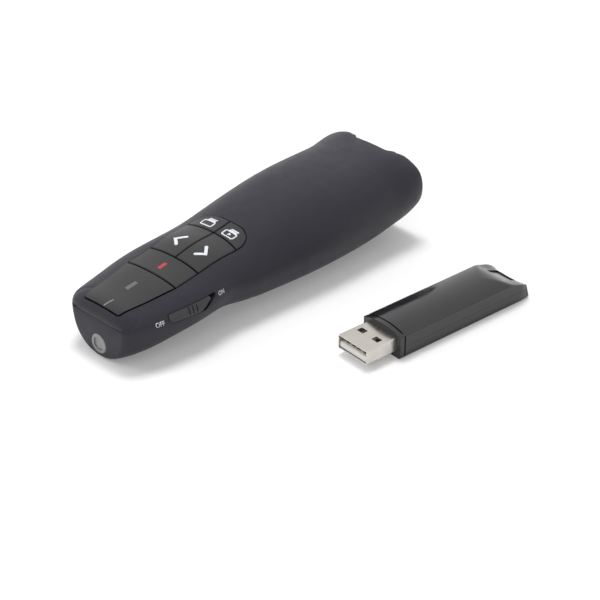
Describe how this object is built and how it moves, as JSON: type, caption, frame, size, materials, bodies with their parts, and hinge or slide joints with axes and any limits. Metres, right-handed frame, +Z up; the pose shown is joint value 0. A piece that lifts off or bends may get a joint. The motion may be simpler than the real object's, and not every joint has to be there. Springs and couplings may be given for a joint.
{
  "type": "wireless presentation clicker",
  "caption": "Hand-held presentation clicker with a glossy keypad, flank power slider, laser nose and a USB receiver shown taken out of its tail bay.",
  "frame": {"origin": "middle of the small flat that the belly rests on, 38 mm ahead of the tail's end face, in the middle plane", "axes": "+X out of the nose along the handset, +Y to the user's left, where the power slider is, +Z up from the resting surface"},
  "size_m": [0.1141, 0.0853, 0.0268],
  "materials": {
    "soft_body": "soft-touch",
    "gloss_black": "gloss",
    "clear_grey": "gloss",
    "slider_grey": "satin",
    "inner_black": "matte",
    "key_stem_white": "matte",
    "component_black": "matte",
    "board_green": "satin",
    "steel": "satin",
    "plug_nickel": "satin",
    "contact_gold": "satin",
    "laser_brass": "satin",
    "lens_grey": "gloss",
    "window_clear": "clear",
    "cell_jacket": "satin",
    "white_plastic": "satin"
  },
  "bodies": {
    "handset": {"top_shell": "soft_body", "bottom_shell": "soft_body", "battery_tray": "inner_black", "indicator_panel": "gloss_black", "light_pipe": "clear_grey", "status_led": "white_plastic", "tact_switches": "component_black", "slide_switch_body": "steel", "main_board": "board_green", "control_chip": "component_black", "crystal": "steel", "laser_bezel": "lens_grey", "laser_window": "window_clear", "laser_module": "laser_brass", "laser_leads": "contact_gold", "battery_left": "cell_jacket", "battery_right": "cell_jacket", "battery_springs": "steel", "terminal_contacts": "steel", "bridge_contact": "steel", "housing_screws": "steel", "board_screws": "steel"},
    "door": {"battery_door": "soft_body"},
    "laser_key": {"laser_key": "gloss_black", "laser_key_stem": "key_stem_white"},
    "back_key": {"back_key": "gloss_black", "back_key_stem": "key_stem_white"},
    "forward_key": {"forward_key": "gloss_black", "forward_key_stem": "key_stem_white"},
    "slideshow_key": {"slideshow_key": "gloss_black", "slideshow_key_stem": "key_stem_white"},
    "blank_key": {"blank_key": "gloss_black", "blank_key_stem": "key_stem_white"},
    "switch": {"power_slider": "slider_grey", "slide_switch_lever": "component_black"},
    "receiver": {"receiver_base": "gloss_black", "receiver_cover": "gloss_black", "usb_plug_shell": "plug_nickel", "usb_tongue": "white_plastic", "usb_contacts": "contact_gold", "receiver_board": "board_green", "receiver_chip": "component_black"}
  },
  "joints": [
    {"name": "door_slide", "type": "slide", "parent": "handset", "child": "door", "axis": [-1, 0, 0], "range_m": [0, 0.056]},
    {"name": "laser_key_press", "type": "slide", "parent": "handset", "child": "laser_key", "axis": [-0.1392, 0, -0.9903], "range_m": [0, 0.0005], "stiffness_N_per_m": 1500},
    {"name": "back_key_press", "type": "slide", "parent": "handset", "child": "back_key", "axis": [-0.1392, 0, -0.9903], "range_m": [0, 0.0005], "stiffness_N_per_m": 1500},
    {"name": "forward_key_press", "type": "slide", "parent": "handset", "child": "forward_key", "axis": [-0.1392, 0, -0.9903], "range_m": [0, 0.0005], "stiffness_N_per_m": 1500},
    {"name": "slideshow_key_press", "type": "slide", "parent": "handset", "child": "slideshow_key", "axis": [-0.1392, 0, -0.9903], "range_m": [0, 0.0005], "stiffness_N_per_m": 1500},
    {"name": "blank_key_press", "type": "slide", "parent": "handset", "child": "blank_key", "axis": [-0.1392, 0, -0.9903], "range_m": [0, 0.0005], "stiffness_N_per_m": 1500},
    {"name": "power_slide", "type": "slide", "parent": "handset", "child": "switch", "axis": [-1, 0, 0], "range_m": [0, 0.0015]},
    {"name": "receiver_lift", "type": "slide", "parent": "handset", "child": "receiver", "axis": [0, 0, 1], "range_m": [0, 0.03]}
  ]
}
